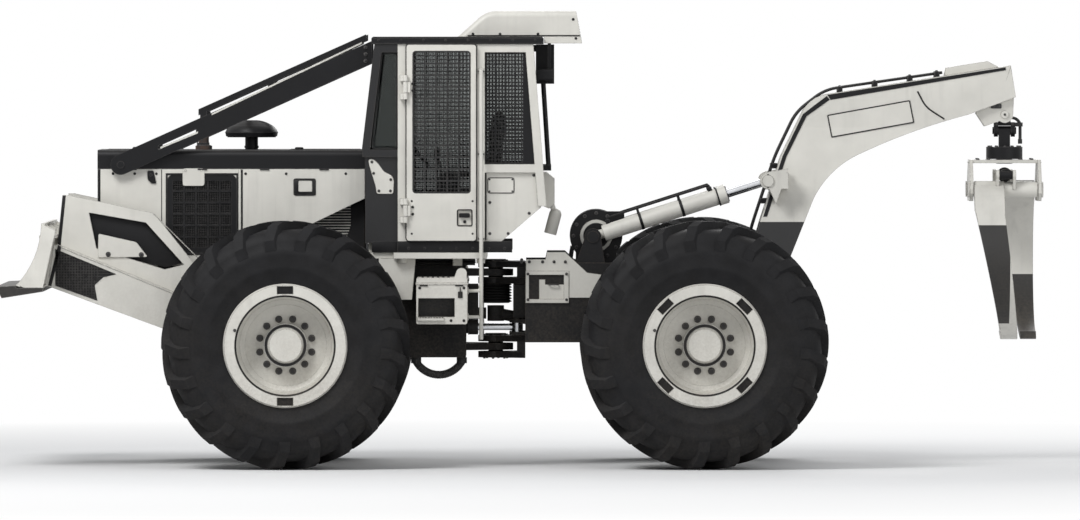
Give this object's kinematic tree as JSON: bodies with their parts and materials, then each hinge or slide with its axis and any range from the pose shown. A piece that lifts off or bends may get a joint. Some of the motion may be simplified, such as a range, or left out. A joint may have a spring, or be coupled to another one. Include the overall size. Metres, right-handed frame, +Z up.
{
  "type": "articulated grapple skidder",
  "caption": "Articulated forestry tractor with front blade, screened cab, winch, rear boom and a hanging log grapple",
  "frame": {"origin": "on the ground, in the middle of the machine's length and width, below the steering hinge line's plane of symmetry", "axes": "+X forward, towards the blade; +Y to the operator's left; +Z up"},
  "size_m": [7.722, 2.97, 3.3618],
  "materials": {
    "cream_paint": "semi-gloss paint, lightly worn",
    "black_paint": "satin paint",
    "chassis_paint": "satin paint, dusty",
    "tyre_rubber": "matt rubber",
    "hose_rubber": "matt rubber",
    "rod_chrome": "polished hard chrome",
    "cutting_steel": "worn hardened steel",
    "cast_grey": "rough casting",
    "screen_black": "satin paint",
    "stack_steel": "heat-darkened steel",
    "cab_glass": "clear",
    "seat_vinyl": "grained vinyl",
    "dash_plastic": "textured",
    "rope_steel": "greased wire rope"
  },
  "bodies": {
    "front_frame": {"front_chassis": "chassis_paint", "heat_shields": "chassis_paint", "front_axle": "cast_grey", "powertrain": "cast_grey", "hood_top": "black_paint", "hood_sides": "cream_paint", "side_screens": "screen_black", "front_grille": "black_paint", "exhaust_stack": "stack_steel", "air_precleaner": "black_paint", "limb_risers": "black_paint", "cab_frame": "cream_paint", "cab_roof": "cream_paint", "cab_lower_body": "cream_paint", "cab_deck": "cream_paint", "cab_glass": "cab_glass", "roof_cooler": "cream_paint", "rear_guard": "black_paint", "work_lights": "black_paint", "seat_frame": "dash_plastic", "seat_cushions": "seat_vinyl", "control_console": "dash_plastic", "step_boxes": "cream_paint", "grab_rails": "cream_paint", "belly_hose": "hose_rubber"},
    "rear_frame": {"rear_chassis": "chassis_paint", "rear_axle": "cast_grey", "winch": "cream_paint", "winch_rope": "rope_steel"},
    "blade": {"blade": "cream_paint", "cutting_edge": "cutting_steel"},
    "blade_barrels": {"blade_barrels": "black_paint"},
    "blade_rods": {"blade_rods": "rod_chrome"},
    "boom": {"boom": "cream_paint"},
    "boom_barrels": {"boom_barrels": "cream_paint"},
    "boom_rods": {"boom_rods": "rod_chrome"},
    "grapple_link": {"grapple_link": "black_paint", "grapple_hoses": "hose_rubber"},
    "rotator": {"rotator": "black_paint"},
    "grapple_head": {"grapple_head": "cream_paint"},
    "left_tong": {"left_tong": "cream_paint"},
    "right_tong": {"right_tong": "black_paint"},
    "grapple_barrel": {"grapple_barrel": "black_paint"},
    "grapple_rod": {"grapple_rod": "rod_chrome"},
    "left_door": {"left_door": "cream_paint", "left_door_glass": "cab_glass"},
    "left_steering_barrel": {"left_steering_barrel": "black_paint"},
    "left_steering_rod": {"left_steering_rod": "rod_chrome"},
    "right_door": {"right_door": "cream_paint", "right_door_glass": "cab_glass"},
    "right_steering_barrel": {"right_steering_barrel": "black_paint"},
    "right_steering_rod": {"right_steering_rod": "rod_chrome"},
    "front_left_wheel": {"front_left_tyre": "tyre_rubber", "front_left_rim": "cream_paint"},
    "front_right_wheel": {"front_right_tyre": "tyre_rubber", "front_right_rim": "cream_paint"},
    "rear_left_wheel": {"rear_left_tyre": "tyre_rubber", "rear_left_rim": "cream_paint"},
    "rear_right_wheel": {"rear_right_tyre": "tyre_rubber", "rear_right_rim": "cream_paint"}
  },
  "joints": [
    {"name": "steering", "type": "hinge", "parent": "front_frame", "child": "rear_frame", "pos_m": [0.194, 0, 1.12], "axis": [0, 0, 1], "range_deg": [-45, 45]},
    {"name": "front_left_wheel_spin", "type": "hinge", "parent": "front_frame", "child": "front_left_wheel", "pos_m": [1.729, 1.0975, 0.91], "axis": [0, 1, 0], "continuous": true},
    {"name": "front_right_wheel_spin", "type": "hinge", "parent": "front_frame", "child": "front_right_wheel", "pos_m": [1.729, -1.0975, 0.91], "axis": [0, 1, 0], "continuous": true},
    {"name": "rear_left_wheel_spin", "type": "hinge", "parent": "rear_frame", "child": "rear_left_wheel", "pos_m": [-1.341, 1.0975, 0.91], "axis": [0, 1, 0], "continuous": true},
    {"name": "rear_right_wheel_spin", "type": "hinge", "parent": "rear_frame", "child": "rear_right_wheel", "pos_m": [-1.341, -1.0975, 0.91], "axis": [0, 1, 0], "continuous": true},
    {"name": "blade_lift", "type": "hinge", "parent": "front_frame", "child": "blade", "pos_m": [2.085, 0, 0.944], "axis": [0, 1, 0], "range_deg": [0, 50]},
    {"name": "boom_lift", "type": "hinge", "parent": "rear_frame", "child": "boom", "pos_m": [-1.689, 0, 1.137], "axis": [0, -1, 0], "range_deg": [-8, 30]},
    {"name": "grapple_swing", "type": "hinge", "parent": "boom", "child": "grapple_link", "pos_m": [-3.584, 0, 2.595], "axis": [0, -1, 0], "range_deg": [-60, 35]},
    {"name": "grapple_side_swing", "type": "hinge", "parent": "grapple_link", "child": "rotator", "pos_m": [-3.584, 0, 2.476], "axis": [1, 0, 0], "range_deg": [-30, 30]},
    {"name": "grapple_rotation", "type": "hinge", "parent": "rotator", "child": "grapple_head", "pos_m": [-3.584, 0, 2.235], "axis": [0, 0, 1], "continuous": true},
    {"name": "left_tong_open", "type": "hinge", "parent": "grapple_head", "child": "left_tong", "pos_m": [-3.584, 0.28, 2.04], "axis": [1, 0, 0], "range_deg": [0, 60]},
    {"name": "right_tong_open", "type": "hinge", "parent": "grapple_head", "child": "right_tong", "pos_m": [-3.584, -0.28, 2.04], "axis": [-1, 0, 0], "range_deg": [0, 60]},
    {"name": "grapple_barrel_pivot", "type": "hinge", "parent": "left_tong", "child": "grapple_barrel", "pos_m": [-3.584, 0.3425, 2.14825], "axis": [1, 0, 0], "range_deg": [-60, 0]},
    {"name": "grapple_rod_slide", "type": "slide", "parent": "grapple_barrel", "child": "grapple_rod", "axis": [0, -1, 0], "range_m": [-0.25, 0]},
    {"name": "left_door_hinge", "type": "hinge", "parent": "front_frame", "child": "left_door", "pos_m": [0.857, 0.75, 2.35], "axis": [0, 0, -1], "range_deg": [0, 85]},
    {"name": "right_door_hinge", "type": "hinge", "parent": "front_frame", "child": "right_door", "pos_m": [0.857, -0.75, 2.35], "axis": [0, 0, 1], "range_deg": [0, 85]},
    {"name": "boom_barrel_pivot", "type": "hinge", "parent": "rear_frame", "child": "boom_barrels", "pos_m": [-0.527, 0, 1.692], "axis": [0, -1, 0], "range_deg": [-2.78, 10.41]},
    {"name": "boom_rod_slide", "type": "slide", "parent": "boom_barrels", "child": "boom_rods", "axis": [-0.9525, 0, 0.3045], "range_m": [-0.1142, 0.4281]},
    {"name": "blade_barrel_pivot", "type": "hinge", "parent": "front_frame", "child": "blade_barrels", "pos_m": [2.344, 0, 1.4], "axis": [0, 1, 0], "range_deg": [0, 53.27]},
    {"name": "blade_rod_slide", "type": "slide", "parent": "blade_barrels", "child": "blade_rods", "axis": [0.9999, 0, -0.0171], "range_m": [0, 0.4356]},
    {"name": "left_steering_barrel_pivot", "type": "hinge", "parent": "front_frame", "child": "left_steering_barrel", "pos_m": [0.794, 0.205, 1.02], "axis": [0, 0, 1], "range_deg": [-9.63, 9.63]},
    {"name": "left_steering_rod_slide", "type": "slide", "parent": "left_steering_barrel", "child": "left_steering_rod", "axis": [-0.9998, 0.0197, 0], "range_m": [-0.1662, 0.1662]},
    {"name": "right_steering_barrel_pivot", "type": "hinge", "parent": "front_frame", "child": "right_steering_barrel", "pos_m": [0.794, -0.205, 1.02], "axis": [0, 0, 1], "range_deg": [-9.6, 9.6]},
    {"name": "right_steering_rod_slide", "type": "slide", "parent": "right_steering_barrel", "child": "right_steering_rod", "axis": [-0.9998, -0.0197, 0], "range_m": [-0.1658, 0.1658]}
  ],
  "couplings": [
    {"joint": "right_tong_open", "follows": "left_tong_open", "ratio": 1},
    {"joint": "grapple_barrel_pivot", "follows": "left_tong_open", "ratio": -1},
    {"joint": "grapple_rod_slide", "follows": "left_tong_open", "m_per_rad": -0.23873},
    {"joint": "boom_barrel_pivot", "follows": "boom_lift", "ratio": 0.3469},
    {"joint": "boom_rod_slide", "follows": "boom_lift", "m_per_rad": 0.81757},
    {"joint": "blade_barrel_pivot", "follows": "blade_lift", "ratio": 1.0655},
    {"joint": "blade_rod_slide", "follows": "blade_lift", "m_per_rad": 0.49916},
    {"joint": "left_steering_barrel_pivot", "follows": "steering", "ratio": 0.214},
    {"joint": "left_steering_rod_slide", "follows": "steering", "m_per_rad": 0.21152},
    {"joint": "right_steering_barrel_pivot", "follows": "steering", "ratio": 0.2134},
    {"joint": "right_steering_rod_slide", "follows": "steering", "m_per_rad": -0.21109}
  ]
}
